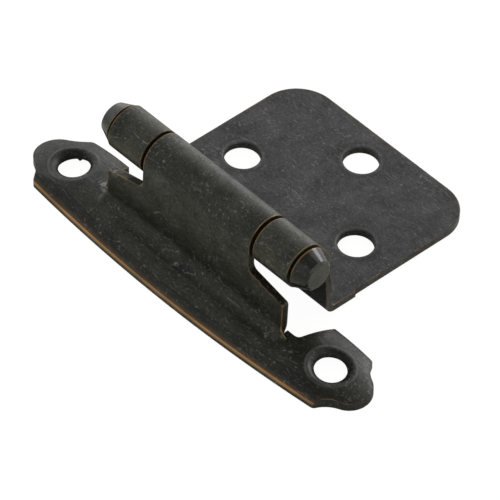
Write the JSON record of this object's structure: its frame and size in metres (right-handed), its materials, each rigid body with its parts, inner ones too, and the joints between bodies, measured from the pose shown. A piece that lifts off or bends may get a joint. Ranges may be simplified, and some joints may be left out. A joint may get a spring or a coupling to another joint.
{
  "type": "self-closing surface hinge",
  "caption": "Self-closing surface hinge: crowned frame leaf with a leaning web and rolled centre knuckle, cone-ended pin, and stepped door leaf with rounded corners.",
  "frame": {"origin": "on the mounting plane, under the middle of the hinge's box as it lies free", "axes": "+X along the pin, +Y from the frame leaf towards the door leaf, +Z away from the cabinet frame"},
  "size_m": [0.0698, 0.0456, 0.0185],
  "materials": {
    "bronze_finish": "satin dark bronze, rubbed to copper on the raised edges",
    "pin_finish": "satin dark bronze",
    "spring_steel": "bare rolled spring strip"
  },
  "bodies": {
    "frame": {"frame_leaf": "bronze_finish", "closing_spring": "spring_steel"},
    "door": {"door_leaf": "bronze_finish", "hinge_pin": "pin_finish", "pin_tip": "pin_finish"}
  },
  "joints": [
    {"name": "door_swing", "type": "hinge", "parent": "frame", "child": "door", "pos_m": [0, -0.01251, 0.01484], "axis": [1, 0, 0], "range_deg": [0, 180], "stiffness_Nm_per_rad": 0.08, "deforming": ["closing_spring"]}
  ]
}
